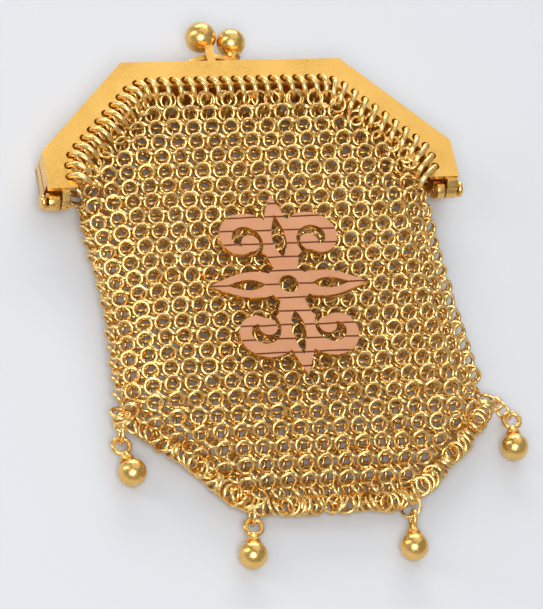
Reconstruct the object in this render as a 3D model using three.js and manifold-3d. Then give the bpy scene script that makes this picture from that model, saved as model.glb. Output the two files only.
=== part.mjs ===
// A gold mesh purse lying on its back: a two-piece hinged frame with a ball clasp, a bag of fine
// rings laced to the frame by a coiled wire, a pierced ornament on the front and four ball drops.
// Millimetres. +X runs across the purse, +Y from the hem to the clasp, +Z up from the table.

import * as THREE from 'three';
import { mergeVertices } from 'three/addons/utils/BufferGeometryUtils.js';
import Module from 'manifold-3d';

const wasm = await Module();
wasm.setup();

// Sizes of the frame
const FRAME_HALF_WIDTH = 29;
const TOP_EDGE_HALF = 15.7;
const CHAMFER_DROP = 14;
const SIDE_HEIGHT = 5.9;
const BAND_WIDTH = 4;
const PLATE_THICKNESS = 0.7;
const HALF_DEPTH = 2.45;
const RIM_THICKNESS = 0.8;
const SPLIT_GAP = 0.3;
const RIM_SHORTENING = 1;

// Sizes of the lacing, a wire coiled through a row of holes in each plate
const LACING_WIRE = 0.65;
const LACING_RADIUS = 1.38;
const LACING_PITCH = 1.76;
const HOLE_INSET = 3.1;
const HOLE_DIAMETER = 1.15;
const LACING_CORNER = 5.5;
const LACING_END = 1.7;
const LACING_STEPS = 7;
const LACING_SIDES = 5;
const LACING_CLEARANCE = 0.15;
const TURNS_PER_SLOT = 2;

// Sizes of the hinges and their pins
const KNUCKLE_DIAMETER = 2.4;
const OUTER_KNUCKLE = 1.5;
const INNER_KNUCKLE = 1;
const KNUCKLE_GAP = 0.25;
const KNUCKLE_DROP = 0.6;
const PIN_DIAMETER = 1;
const PIN_CLEARANCE = 0.25;
const PIN_HEAD = 0.8;
const PIN_HEAD_DIAMETER = 2.2;
const PIN_OVERHANG = 0.9;

// How far a knuckle's bracket reaches, as shares of the knuckle's radius
const BRACKET = { bite: 0.7, below: 0.6, above: 0.4 };

// The domed head of a pin: its rim and shoulder as shares of its height, its crown of its radius
const PIN_DOME = { rim: 0.35, shoulder: 0.8, crown: 0.75 };

// Sizes of the clasp
const FRONT_BALL_DIAMETER = 4.35;
const BACK_BALL_DIAMETER = 4.05;
const BALL_GAP = 0.12;
const CLASP_CENTRE = -0.54;
const CLASP_RISE = 5.3;
const CLASP_SINK = 0.35;
const BALL_STAGGER = 1.0;
const STRAP_WIDTH = 1.2;
const STRAP_THICKNESS = 0.7;
const STRAP_RISE = 0.8;
const POST_DIAMETER = 1.3;
const COLLAR_DIAMETER = 1.9;
const COLLAR_HEIGHT = 0.5;
const BRIDGE_SPAN = 10.4;
const BRIDGE_RISE = 2.5;
const BRIDGE_THICKNESS = 0.7;
const BRIDGE_DEPTH = 0.9;
const BRIDGE_OFFSET = -1.1;

// Where the strap meets the front ball, as shares of the ball's radius
const STRAP_END = { across: 0.28, rise: 0.48, back: 0.7 };

// Sizes of the mesh bag
const MESH_WALL = 0.8;
const EDGE_GAP = 0.3;
const EDGE_HEIGHT = 0.75;
const MOUTH_SWELL = 10;
const EDGE_SWELL = 7;
const BAG_PIN_GAP = 0.7;
const BAG_DROP = 48.6;
const BAG_DEPTH = 7.1;
const HEM_WIDTH = 2.4;
const CORNER_RING_DIAMETER = 2.2;
const CORNER_RING_WIRE = 0.5;

// Where the thick hem begins in the bag's sides and where it is full, as shares of BAG_DROP
const HEM = { begins: 0.6, full: 0.75 };

// Sizes of the drops and their links
const DROP_BALL_DIAMETER = 3.75;
const NECK_LENGTH = 0.7;
const NECK_DIAMETER = 1.7;
const LOOP_DIAMETER = 2.9;
const LOOP_WIRE = 0.66;
const LINK_DIAMETER = 3.2;
const LINK_WIRE = 0.5;
const LINK_CLEARANCE = 0.15;

// Where a drop's neck starts inside its ball and how far it narrows there, as shares of their radii
const NECK = { sink: 0.8, taper: 0.7 };

// Sizes of the ornament
const ORNAMENT_WIDTH = 22;
const ORNAMENT_HEIGHT = 28;
const ORNAMENT_THICKNESS = 0.8;
const ORNAMENT_GAP = 0.3;
const ORNAMENT_DOWN = 37.2;
const ORNAMENT_ACROSS = 0.6;

// Into how many sides the round pieces are cut
const BALL_SIDES = 14;
const BALL_ROWS = 8;
const DROP_BALL_SIDES = 12;
const DROP_BALL_ROWS = 6;
const ROUND_SIDES = 12;
const BORE_SIDES = 8;
const HOLE_SIDES = 5;
const RING_WIRE_SIDES = 5;
const CORNER_RING_SIDES = 10;

// Where the plates, the split and the wires' axes lie above the table
const BACK_AXIS = LACING_RADIUS + LACING_WIRE / 2;
const BACK_FACE = BACK_AXIS - PLATE_THICKNESS / 2;
const SPLIT = BACK_FACE + HALF_DEPTH;
const FRONT_FACE = SPLIT + HALF_DEPTH;
const FRONT_AXIS = FRONT_FACE - PLATE_THICKNESS / 2;
const FOOT = -(CHAMFER_DROP + SIDE_HEIGHT);

// The front and back halves mirror each other across the split
const FRONT = { face: FRONT_FACE, axis: FRONT_AXIS, side: 1 };
const BACK = { face: BACK_FACE, axis: BACK_AXIS, side: -1 };

// The bag below the frame, one row for each section from the frame's foot to the hem. down is a
// share of BAG_DROP, left and right of BAG_HALF_WIDTH, the four heights of BAG_DEPTH.
const BAG_ROWS = [
  { down: 0.016, left: 0.99, right: 0.99, top: 0.99, topEdge: 0.8, lowEdge: 0.2, low: 0.02 },
  { down: 0.105, left: 0.99, right: 1.0, top: 1.0, topEdge: 0.68, lowEdge: 0.16, low: 0 },
  { down: 0.23, left: 0.965, right: 1.0, top: 1.0, topEdge: 0.66, lowEdge: 0.14, low: 0 },
  { down: 0.35, left: 0.955, right: 1.015, top: 1.0, topEdge: 0.62, lowEdge: 0.14, low: 0 },
  { down: 0.47, left: 0.972, right: 1.035, top: 1.0, topEdge: 0.6, lowEdge: 0.14, low: 0 },
  { down: 0.6, left: 0.99, right: 1.06, top: 1.0, topEdge: 0.56, lowEdge: 0.14, low: 0 },
  { down: 0.67, left: 1.005, right: 1.09, top: 0.97, topEdge: 0.53, lowEdge: 0.14, low: 0 },
  { down: 0.705, left: 0.985, right: 1.09, top: 0.93, topEdge: 0.52, lowEdge: 0.14, low: 0 },
  { down: 0.77, left: 0.82, right: 1.0, top: 0.88, topEdge: 0.52, lowEdge: 0.14, low: 0 },
  { down: 0.84, left: 0.66, right: 0.88, top: 0.8, topEdge: 0.52, lowEdge: 0.14, low: 0 },
  { down: 0.91, left: 0.54, right: 0.73, top: 0.69, topEdge: 0.51, lowEdge: 0.13, low: 0 },
  { down: 0.96, left: 0.46, right: 0.61, top: 0.58, topEdge: 0.48, lowEdge: 0.12, low: 0.02 },
  { down: 0.985, left: 0.37, right: 0.54, top: 0.5, topEdge: 0.44, lowEdge: 0.13, low: 0.06 },
  { down: 1.0, left: 0.25, right: 0.46, top: 0.4, topEdge: 0.38, lowEdge: 0.17, low: 0.13 },
];

// The four drops. across and down place the bag's corner ring as shares of BAG_HALF_WIDTH and
// BAG_DROP. linkTurn and ballTurn are degrees from straight down the purse, roll stands a loop up.
const DROPS = [
  { name: '1', across: -0.945, down: 0.7, linkTurn: -10, ballTurn: 12, roll: 0 },
  { name: '2', across: -0.345, down: 0.965, linkTurn: -5, ballTurn: -12, roll: 0 },
  { name: '3', across: 0.51, down: 0.968, linkTurn: -3, ballTurn: -10, roll: 90 },
  { name: '4', across: 1.108, down: 0.69, linkTurn: 31, ballTurn: -7, roll: 0 },
];

// The ornament is a pierced fleuron: four leaves crossed on a boss, with a scroll between each pair.
// Leaf rows: turn in degrees, length and width as shares of half the ornament's height or width.
const LEAVES = [
  { turn: 90, length: 1, width: 0.424, opening: 0.42 },
  { turn: 0, length: 1, width: 0.368, opening: 0.4 },
];

// The leaves' shape: how far their widest place moves out, and where their openings lie on them
const LEAF = { steps: 7, fullness: 0.8, openFrom: 0.3, openTo: 0.78 };

// A scroll winds from its root near the upright leaf in to its knob. Its middle is given as shares of
// half the ornament's width and height, its turns in degrees and its reach and widths as shares of
// half the width.
const SCROLL = {
  across: 0.46, up: 0.5, rootTurn: 222, knobTurn: -150, rootReach: 0.4, knobReach: 0.1,
  rootWidth: 0.24, knobWidth: 0.09, knob: 0.115, knobSides: 9, tightening: 0.85, steps: 13,
};

// The boss and its opening, as shares of half the ornament's width
const BOSS = { size: 0.27, sides: 14, opening: 0.12, openingSides: 8 };

const group = new THREE.Group();

function finish(colour, roughness) {
  return new THREE.MeshStandardMaterial({ color: colour, roughness, metalness: 1 });
}
const satinGold = finish(0xd9a441, 0.35);
const polishedGold = finish(0xe0ab45, 0.15);
const meshGold = finish(0xdcb96a, 0.3);
const wireGold = finish(0xe6c07a, 0.22);
const roseGold = finish(0xd09a7c, 0.3);

// Turns a closed three.js geometry into a solid that can be joined and cut
function solid(geometry) {
  const bare = geometry.clone();
  bare.deleteAttribute('normal');
  bare.deleteAttribute('uv');
  const merged = mergeVertices(bare, 1e-4);
  const vertProperties = new Float32Array(merged.attributes.position.array);
  const triVerts = new Uint32Array(merged.index.array);
  return new wasm.Manifold(new wasm.Mesh({ numProp: 3, vertProperties, triVerts }));
}

function geometryOf(shape) {
  const mesh = shape.getMesh();
  const geometry = new THREE.BufferGeometry();
  geometry.setAttribute('position', new THREE.BufferAttribute(mesh.vertProperties, 3));
  geometry.setIndex(new THREE.BufferAttribute(mesh.triVerts, 1));
  geometry.computeVertexNormals();
  return geometry;
}

function addPiece(name, geometry, material) {
  const mesh = new THREE.Mesh(geometry, material);
  mesh.name = name;
  group.add(mesh);
  return mesh;
}

function box(sizeX, sizeY, sizeZ, x, y, z) {
  return new THREE.BoxGeometry(sizeX, sizeY, sizeZ).translate(x, y, z);
}

// A bar of any cross-section geometry made along +Y, set down so that it runs from one point to another
function along(geometry, from, to) {
  const run = new THREE.Vector3().subVectors(to, from);
  const upright = new THREE.Vector3(0, 1, 0);
  const turn = new THREE.Quaternion().setFromUnitVectors(upright, run.clone().normalize());
  const middle = new THREE.Vector3().addVectors(from, to).multiplyScalar(0.5);
  return geometry.clone().applyQuaternion(turn).translate(middle.x, middle.y, middle.z);
}

// The frame's outline moved inward, from the left foot round to the right foot
function archAt(inset, foot = FOOT) {
  const chamfer = Math.atan2(CHAMFER_DROP, FRAME_HALF_WIDTH - TOP_EDGE_HALF);
  const side = FRAME_HALF_WIDTH - inset;
  const corner = -CHAMFER_DROP - inset * Math.tan((Math.PI / 2 - chamfer) / 2);
  const top = TOP_EDGE_HALF - inset * Math.tan(chamfer / 2);
  return [
    new THREE.Vector2(-side, foot),
    new THREE.Vector2(-side, corner),
    new THREE.Vector2(-top, -inset),
    new THREE.Vector2(top, -inset),
    new THREE.Vector2(side, corner),
    new THREE.Vector2(side, foot),
  ];
}

// The direction square to the left chamfer, as an angle from +X
const SLANT = Math.PI / 2 + Math.atan2(CHAMFER_DROP, FRAME_HALF_WIDTH - TOP_EDGE_HALF);
const CORNER_STEPS = 2;

// A line parallel to the lacing holes, inward of them, from the left foot round to the right foot
function insideLine(inset) {
  const centres = archAt(HOLE_INSET + LACING_CORNER);
  const radius = LACING_CORNER - inset;
  const left = [new THREE.Vector2(-(FRAME_HALF_WIDTH - HOLE_INSET - inset), FOOT)];
  [[centres[1], Math.PI, SLANT], [centres[2], SLANT, Math.PI / 2]].forEach(([centre, from, to]) => {
    for (let i = 0; i <= CORNER_STEPS; i += 1) {
      const angle = THREE.MathUtils.lerp(from, to, i / CORNER_STEPS);
      left.push(new THREE.Vector2(radius * Math.cos(angle), radius * Math.sin(angle)).add(centre));
    }
  });
  const right = left.map((point) => new THREE.Vector2(-point.x, point.y)).reverse();
  return [...left, ...right];
}

// The line of lacing holes, with its corners rounded
function holeLine() {
  const centres = archAt(HOLE_INSET + LACING_CORNER);
  const start = new THREE.Vector2(-(FRAME_HALF_WIDTH - HOLE_INSET), FOOT + LACING_END);
  const line = new THREE.Path();
  line.moveTo(start.x, start.y);
  line.lineTo(start.x, centres[1].y);
  line.absarc(centres[1].x, centres[1].y, LACING_CORNER, Math.PI, SLANT, true);
  line.absarc(centres[2].x, centres[2].y, LACING_CORNER, SLANT, Math.PI / 2, true);
  line.absarc(centres[3].x, centres[3].y, LACING_CORNER, Math.PI / 2, Math.PI - SLANT, true);
  line.absarc(centres[4].x, centres[4].y, LACING_CORNER, Math.PI - SLANT, 0, true);
  line.lineTo(-start.x, start.y);
  return line;
}
const HOLES = holeLine();
const TURNS = Math.round(HOLES.getLength() / LACING_PITCH);

// A point on the line of holes and the direction out of the frame there
function holeAt(turn) {
  const share = THREE.MathUtils.clamp(turn / TURNS, 0, 1);
  const point = HOLES.getPoint(share);
  const tangent = HOLES.getTangent(share);
  return { point, tangent, outward: new THREE.Vector2(-tangent.y, tangent.x) };
}

// The coiled wire: down through each hole, round the plate's inner edge and through the mesh
class LacingCurve extends THREE.Curve {
  constructor(half) {
    super();
    this.half = half;
  }

  getPoint(share, target = new THREE.Vector3()) {
    const { point, outward } = holeAt(share * TURNS);
    const angle = share * TURNS * 2 * Math.PI;
    const reach = LACING_RADIUS * (Math.cos(angle) - 1);
    const rise = LACING_RADIUS * Math.sin(angle) * this.half.side;
    return target.set(point.x + outward.x * reach, point.y + outward.y * reach, this.half.axis + rise);
  }

  // Equal steps of angle, so that every turn has the same corners
  getUtoTmapping(share) {
    return share;
  }
}

function roundShape(radius, sides) {
  const points = [];
  for (let i = 0; i < sides; i += 1) {
    const angle = (2 * Math.PI * i) / sides;
    points.push(new THREE.Vector2(radius * Math.cos(angle), radius * Math.sin(angle)));
  }
  return new THREE.Shape(points);
}

function lacing(half) {
  return new THREE.ExtrudeGeometry(roundShape(LACING_WIRE / 2, LACING_SIDES), {
    steps: TURNS * LACING_STEPS,
    extrudePath: new LacingCurve(half),
  });
}

// A band of the frame from its outline to an inner line, between two heights
function band(innerLine, foot, low, high, pierced) {
  const outline = [...archAt(0, foot), ...innerLine.reverse()];
  const shape = new THREE.Shape(outline);
  if (pierced) {
    for (let turn = 0; turn <= TURNS; turn += 1) {
      const { point } = holeAt(turn);
      const edge = roundShape(HOLE_DIAMETER / 2, HOLE_SIDES).getPoints().map((corner) => corner.add(point));
      shape.holes.push(new THREE.Path(edge));
    }
  }
  const geometry = new THREE.ExtrudeGeometry(shape, { depth: high - low, bevelEnabled: false });
  return geometry.translate(0, 0, low);
}

// A cylinder lying across the purse, from one x to another
function crossCylinder(radius, from, to, y, z, sides) {
  const geometry = new THREE.CylinderGeometry(radius, radius, Math.abs(to - from), sides);
  return geometry.rotateZ(Math.PI / 2).translate((from + to) / 2, y, z);
}

const HINGE_Y = FOOT - KNUCKLE_DROP;
const HEAD_INNER = FRAME_HALF_WIDTH + PIN_OVERHANG - PIN_HEAD;
const OUTER_END = HEAD_INNER - KNUCKLE_GAP;
const OUTER_START = OUTER_END - OUTER_KNUCKLE;
const INNER_END = OUTER_START - KNUCKLE_GAP;
const INNER_START = INNER_END - INNER_KNUCKLE;

// The bag is as wide as fits between the two pins
const BAG_HALF_WIDTH = INNER_START - BAG_PIN_GAP;

// A hinge knuckle with the bracket that joins it to its plate, bored for the pin
function withKnuckle(body, half, sign, start, end) {
  const radius = KNUCKLE_DIAMETER / 2;
  const knuckle = solid(crossCylinder(radius, sign * start, sign * end, HINGE_Y, SPLIT, ROUND_SIDES));
  const boreStart = sign * (start - KNUCKLE_GAP);
  const boreEnd = sign * (end + KNUCKLE_GAP);
  const boreRadius = PIN_DIAMETER / 2 + PIN_CLEARANCE;
  const bore = solid(crossCylinder(boreRadius, boreStart, boreEnd, HINGE_Y, SPLIT, BORE_SIDES));
  const far = half.face - half.side * PLATE_THICKNESS / 2;
  const near = SPLIT + half.side * radius * BRACKET.bite;
  const low = HINGE_Y - radius * BRACKET.below;
  const high = FOOT + radius * BRACKET.above;
  const middle = sign * (start + end) / 2;
  const depth = Math.abs(far - near);
  const bracket = solid(box(end - start, high - low, depth, middle, (low + high) / 2, (far + near) / 2));
  return body.add(bracket).add(knuckle).subtract(bore);
}

function frameHalf(half) {
  const inner = half.face - half.side * PLATE_THICKNESS;
  const meeting = SPLIT + half.side * SPLIT_GAP / 2;
  const plateLine = insideLine(BAND_WIDTH - HOLE_INSET);
  const plate = band(plateLine, FOOT, Math.min(half.face, inner), Math.max(half.face, inner), true);
  const bite = half.face - half.side * PLATE_THICKNESS / 2;
  const rimFoot = FOOT + RIM_SHORTENING;
  const rimLine = archAt(RIM_THICKNESS, rimFoot);
  const rim = band(rimLine, rimFoot, Math.min(meeting, bite), Math.max(meeting, bite), false);
  return solid(plate).add(solid(rim));
}

// Where the clasp's two balls stand, side by side over the top edge and almost touching
const BALL_DISTANCE = (FRONT_BALL_DIAMETER + BACK_BALL_DIAMETER) / 2 + BALL_GAP;
const BALL_SPACING = Math.sqrt(BALL_DISTANCE ** 2 - BALL_STAGGER ** 2);
const CLASP_MIDDLE = new THREE.Vector3(CLASP_CENTRE, CLASP_RISE, SPLIT - CLASP_SINK);
const BALL_REACH = new THREE.Vector3(-BALL_SPACING / 2, BALL_STAGGER / 2, 0);
const FRONT_BALL = CLASP_MIDDLE.clone().add(BALL_REACH);
const BACK_BALL = CLASP_MIDDLE.clone().sub(BALL_REACH);

function ball(diameter, centre, across, down) {
  return new THREE.SphereGeometry(diameter / 2, across, down).translate(centre.x, centre.y, centre.z);
}

// The front half: plate, rim, its knuckles and the ball on a flat strap
function frontFrame() {
  let body = frameHalf(FRONT);
  body = withKnuckle(body, FRONT, -1, INNER_START, INNER_END);
  body = withKnuckle(body, FRONT, 1, OUTER_START, OUTER_END);
  const radius = FRONT_BALL_DIAMETER / 2;
  const reach = new THREE.Vector3(STRAP_END.across, -STRAP_END.back, STRAP_END.rise).multiplyScalar(radius);
  const tip = FRONT_BALL.clone().add(reach);
  const root = new THREE.Vector3(tip.x, -RIM_THICKNESS, SPLIT + STRAP_RISE);
  const strap = along(new THREE.BoxGeometry(STRAP_WIDTH, root.distanceTo(tip), STRAP_THICKNESS), root, tip);
  return body.add(solid(strap)).add(solid(ball(FRONT_BALL_DIAMETER, FRONT_BALL, BALL_SIDES, BALL_ROWS)));
}

// The arched bridge behind the balls, as a bent strip
function bridge() {
  const half = BRIDGE_SPAN / 2;
  const rise = BRIDGE_RISE + RIM_THICKNESS / 2;
  const radius = (half * half + rise * rise) / (2 * rise);
  const centre = rise - radius;
  const open = Math.asin(half / radius);
  const strip = new THREE.Shape();
  const outer = radius + BRIDGE_THICKNESS / 2;
  const inner = radius - BRIDGE_THICKNESS / 2;
  strip.absarc(0, centre, outer, Math.PI / 2 - open, Math.PI / 2 + open, false);
  strip.absarc(0, centre, inner, Math.PI / 2 + open, Math.PI / 2 - open, true);
  const settings = { depth: BRIDGE_DEPTH, bevelEnabled: false, curveSegments: BORE_SIDES };
  const geometry = new THREE.ExtrudeGeometry(strip, settings);
  const low = SPLIT - SPLIT_GAP / 2 - BRIDGE_DEPTH;
  return geometry.translate(CLASP_CENTRE + BRIDGE_OFFSET, -RIM_THICKNESS / 2, low);
}

// The back half: plate, rim, its knuckles, the bridge and the ball on a collared post
function backFrame() {
  let body = frameHalf(BACK);
  body = withKnuckle(body, BACK, -1, OUTER_START, OUTER_END);
  body = withKnuckle(body, BACK, 1, INNER_START, INNER_END);
  const root = new THREE.Vector3(BACK_BALL.x, -RIM_THICKNESS / 2, SPLIT - SPLIT_GAP - POST_DIAMETER / 2);
  const length = root.distanceTo(BACK_BALL);
  const radius = POST_DIAMETER / 2;
  const post = along(new THREE.CylinderGeometry(radius, radius, length, ROUND_SIDES), root, BACK_BALL);
  const way = new THREE.Vector3().subVectors(BACK_BALL, root).normalize();
  const collarStart = root.clone().addScaledVector(way, RIM_THICKNESS);
  const collarEnd = collarStart.clone().addScaledVector(way, COLLAR_HEIGHT);
  const collarRadius = COLLAR_DIAMETER / 2;
  const disc = new THREE.CylinderGeometry(collarRadius, collarRadius, COLLAR_HEIGHT, ROUND_SIDES);
  const collar = along(disc, collarStart, collarEnd);
  body = body.add(solid(post)).add(solid(collar)).add(solid(bridge()));
  return body.add(solid(ball(BACK_BALL_DIAMETER, BACK_BALL, BALL_SIDES, BALL_ROWS)));
}

// A hinge pin with a domed head outside and its shank through both knuckles
function hingePin(sign) {
  const shank = PIN_DIAMETER / 2;
  const head = PIN_HEAD_DIAMETER / 2;
  const profile = [
    new THREE.Vector2(0, INNER_START),
    new THREE.Vector2(shank, INNER_START),
    new THREE.Vector2(shank, HEAD_INNER),
    new THREE.Vector2(head, HEAD_INNER),
    new THREE.Vector2(head, HEAD_INNER + PIN_HEAD * PIN_DOME.rim),
    new THREE.Vector2(head * PIN_DOME.crown, HEAD_INNER + PIN_HEAD * PIN_DOME.shoulder),
    new THREE.Vector2(0, HEAD_INNER + PIN_HEAD),
  ];
  const geometry = new THREE.LatheGeometry(profile, ROUND_SIDES).rotateZ(-sign * Math.PI / 2);
  return geometry.translate(0, HINGE_Y, SPLIT);
}

// The sections of the bag inside the frame follow the frame's inner edge, and those below it the table
function bagSections() {
  const edge = insideLine(BAND_WIDTH - HOLE_INSET + EDGE_GAP);
  const mouthTop = FRONT_AXIS + EDGE_HEIGHT;
  const mouthLow = BACK_AXIS - EDGE_HEIGHT;
  const topY = edge[edge.length / 2].y;
  const sections = edge.slice(edge.length / 2).map((point) => {
    const belly = THREE.MathUtils.smoothstep(topY - point.y, 2 * LACING_RADIUS, MOUTH_SWELL);
    return {
      y: point.y, left: -point.x, right: point.x, mouth: true,
      top: THREE.MathUtils.lerp(mouthTop, BAG_DEPTH * BAG_ROWS[0].top, belly), topEdge: mouthTop,
      low: THREE.MathUtils.lerp(mouthLow, BAG_DEPTH * BAG_ROWS[0].low, belly), lowEdge: mouthLow,
    };
  });
  BAG_ROWS.forEach((row) => sections.push({
    y: FOOT - row.down * BAG_DROP, left: -row.left * BAG_HALF_WIDTH, right: row.right * BAG_HALF_WIDTH,
    top: row.top * BAG_DEPTH, topEdge: row.topEdge * BAG_DEPTH,
    low: row.low * BAG_DEPTH, lowEdge: row.lowEdge * BAG_DEPTH, mouth: false,
  }));
  return sections;
}

// One closed ring of points round a section: flat across the middle, falling to its edges. Inside
// the frame a strip beside each edge stays flat, where the lacing goes round it.
const ACROSS = 6;
function sectionRing(section, left, right, wall) {
  const flat = section.mouth ? 2 * LACING_RADIUS : 0;
  const ring = [];
  const place = (share, onTop) => {
    const x = THREE.MathUtils.lerp(left, right, share);
    const fromEdge = Math.min(x - section.left, section.right - x);
    const fall = 1 - THREE.MathUtils.smoothstep(fromEdge, flat, flat + EDGE_SWELL);
    const top = THREE.MathUtils.lerp(section.top, section.topEdge, fall) - wall;
    const low = THREE.MathUtils.lerp(section.low, section.lowEdge, fall) + wall;
    ring.push(new THREE.Vector3(x, section.y, onTop ? top : low));
  };
  for (let i = 0; i <= ACROSS; i += 1) place(spread(i / ACROSS), true);
  for (let i = ACROSS; i >= 0; i -= 1) place(spread(i / ACROSS), false);
  return ring;
}

// Shares from 0 to 1 that crowd towards both ends
const CROWDING = 0.12;
function spread(share) {
  return share - CROWDING * Math.sin(2 * Math.PI * share);
}

// A closed body through rings of equally many points, with flat ends
function loft(rings) {
  const count = rings[0].length;
  const positions = rings.flat().flatMap((point) => [point.x, point.y, point.z]);
  const index = [];
  for (let row = 0; row + 1 < rings.length; row += 1) {
    for (let i = 0; i < count; i += 1) {
      const next = (i + 1) % count;
      const a = row * count + i;
      const b = row * count + next;
      index.push(a, b + count, b, a, a + count, b + count);
    }
  }
  const last = (rings.length - 1) * count;
  const half = count / 2;
  for (let i = 0; i + 1 < half; i += 1) {
    const across = count - 1 - i;
    index.push(i, i + 1, across, i + 1, across - 1, across);
    index.push(last + i, last + across, last + i + 1, last + i + 1, last + across, last + across - 1);
  }
  const geometry = new THREE.BufferGeometry();
  geometry.setAttribute('position', new THREE.Float32BufferAttribute(positions, 3));
  geometry.setIndex(index);
  return geometry;
}

// The slots through which one coil passes one panel's edge
function lacingSlots(half) {
  const climb = Math.asin(EDGE_HEIGHT / LACING_RADIUS);
  const near = LACING_RADIUS * Math.cos(climb);
  const length = LACING_RADIUS - near + LACING_WIRE + 2 * LACING_CLEARANCE;
  const width = (climb / (2 * Math.PI)) * LACING_PITCH + LACING_WIRE + 2 * LACING_CLEARANCE;
  const height = EDGE_HEIGHT + MESH_WALL + LACING_RADIUS;
  const reach = LACING_RADIUS + (LACING_RADIUS + near) / 2;
  const cuts = [];
  for (let first = 0; first < TURNS; first += TURNS_PER_SLOT) {
    const held = Math.min(TURNS_PER_SLOT, TURNS - first);
    const { point, outward } = holeAt(first + held / 2 - climb / (4 * Math.PI));
    const ends = [first + 0.5, first + held - 0.5].map((turn) => {
      const hole = holeAt(turn);
      return hole.point.clone().addScaledVector(hole.outward, -reach);
    });
    const cut = new THREE.BoxGeometry(width + ends[0].distanceTo(ends[1]), length, height);
    cut.rotateZ(Math.atan2(-outward.x, outward.y));
    const middle = point.clone().addScaledVector(outward, -reach);
    cut.translate(middle.x, middle.y, half.axis + half.side * height / 4);
    cuts.push(solid(cut));
  }
  return cuts;
}

// A drop hangs from the bag's corner ring by a link, and its ball lies on the table
const RING_RADIUS = (CORNER_RING_DIAMETER - CORNER_RING_WIRE) / 2;
const LINK_RADIUS = (LINK_DIAMETER - LINK_WIRE) / 2;
const LOOP_RADIUS = (LOOP_DIAMETER - LOOP_WIRE) / 2;
const LOOP_STEP = 2 * LINK_RADIUS + LOOP_RADIUS - LOOP_WIRE / 2 - LINK_WIRE / 2 - LINK_CLEARANCE;
const BALL_STEP = DROP_BALL_DIAMETER / 2 + NECK_LENGTH + LOOP_DIAMETER / 2;
const DROP_HEIGHT = DROP_BALL_DIAMETER / 2;

function downward(degrees) {
  const angle = THREE.MathUtils.degToRad(degrees);
  return new THREE.Vector3(Math.sin(angle), -Math.cos(angle), 0);
}

function dropPlaces(drop) {
  const ring = new THREE.Vector3(drop.across * BAG_HALF_WIDTH, FOOT - drop.down * BAG_DROP, DROP_HEIGHT);
  const linkWay = downward(drop.linkTurn);
  const ballWay = downward(drop.ballTurn);
  const link = ring.clone().addScaledVector(linkWay, LINK_RADIUS);
  const loop = ring.clone().addScaledVector(linkWay, LOOP_STEP);
  const end = loop.clone().addScaledVector(ballWay, BALL_STEP);
  return { ring, link, loop, end, linkWay, ballWay };
}

// A wire ring that lies in a plane holding one direction, flat for a roll of 0 and upright for 90
function wireRing(radius, wire, centre, way, roll, sides) {
  const geometry = new THREE.TorusGeometry(radius, wire / 2, RING_WIRE_SIDES, sides);
  geometry.rotateX(THREE.MathUtils.degToRad(roll));
  geometry.rotateZ(Math.atan2(way.y, way.x));
  return geometry.translate(centre.x, centre.y, centre.z);
}

function dropPiece(drop) {
  const { loop, end, ballWay } = dropPlaces(drop);
  const neckStart = end.clone().addScaledVector(ballWay, -DROP_BALL_DIAMETER / 2 * NECK.sink);
  const neckEnd = loop.clone().addScaledVector(ballWay, LOOP_RADIUS);
  const neck = NECK_DIAMETER / 2;
  const length = neckStart.distanceTo(neckEnd);
  const cone = new THREE.CylinderGeometry(neck * NECK.taper, neck, length, BORE_SIDES);
  const stem = along(cone, neckStart, neckEnd);
  return solid(ball(DROP_BALL_DIAMETER, end, DROP_BALL_SIDES, DROP_BALL_ROWS))
    .add(solid(stem))
    .add(solid(wireRing(LOOP_RADIUS, LOOP_WIRE, loop, ballWay, drop.roll, ROUND_SIDES)));
}

// The bag: a hollow body of mesh with an open mouth, slotted for the lacing, with four corner rings
function meshBag() {
  const sections = bagSections();
  const outer = loft(sections.map((section) => sectionRing(section, section.left, section.right, 0)));
  const hollow = [];
  const beyond = BAND_WIDTH;
  const first = sections[0];
  const mouth = { ...first, y: first.y + beyond };
  hollow.push(sectionRing(mouth, first.left - beyond, first.right + beyond, MESH_WALL));
  const lowest = FOOT - BAG_DROP + HEM_WIDTH;
  sections.slice(1).filter((section) => section.y > lowest).forEach((section) => {
    const inset = section.mouth ? -beyond : MESH_WALL + HEM_WIDTH * hemShare(section);
    hollow.push(sectionRing(section, section.left + inset, section.right - inset, MESH_WALL));
  });
  let body = solid(outer).subtract(solid(loft(hollow)));
  [...lacingSlots(FRONT), ...lacingSlots(BACK)].forEach((cut) => {
    body = body.subtract(cut);
  });
  DROPS.forEach((drop) => {
    const { ring, linkWay } = dropPlaces(drop);
    const width = (drop.roll ? LINK_DIAMETER : LINK_WIRE) + 2 * EDGE_GAP + LINK_CLEARANCE;
    const back = RING_RADIUS - CORNER_RING_WIRE / 2;
    const notch = new THREE.BoxGeometry(2 * LINK_DIAMETER + back, width, BAG_DEPTH * 2);
    notch.translate(LINK_DIAMETER - back / 2, 0, 0);
    notch.rotateZ(Math.atan2(linkWay.y, linkWay.x));
    body = body.subtract(solid(notch.translate(ring.x, ring.y, 0)));
    const round = wireRing(RING_RADIUS, CORNER_RING_WIRE, ring, linkWay, drop.roll, CORNER_RING_SIDES);
    body = body.add(solid(round));
  });
  return body;
}

// How much of the hem's width is added to the side wall, from none above to all along the hem
function hemShare(section) {
  return THREE.MathUtils.smoothstep(FOOT - section.y, BAG_DROP * HEM.begins, BAG_DROP * HEM.full);
}

// A flat plate of the ornament's thickness with one outline
function ornamentPlate(outline) {
  const shape = new THREE.Shape(outline);
  return solid(new THREE.ExtrudeGeometry(shape, { depth: ORNAMENT_THICKNESS, bevelEnabled: false }));
}

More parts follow.
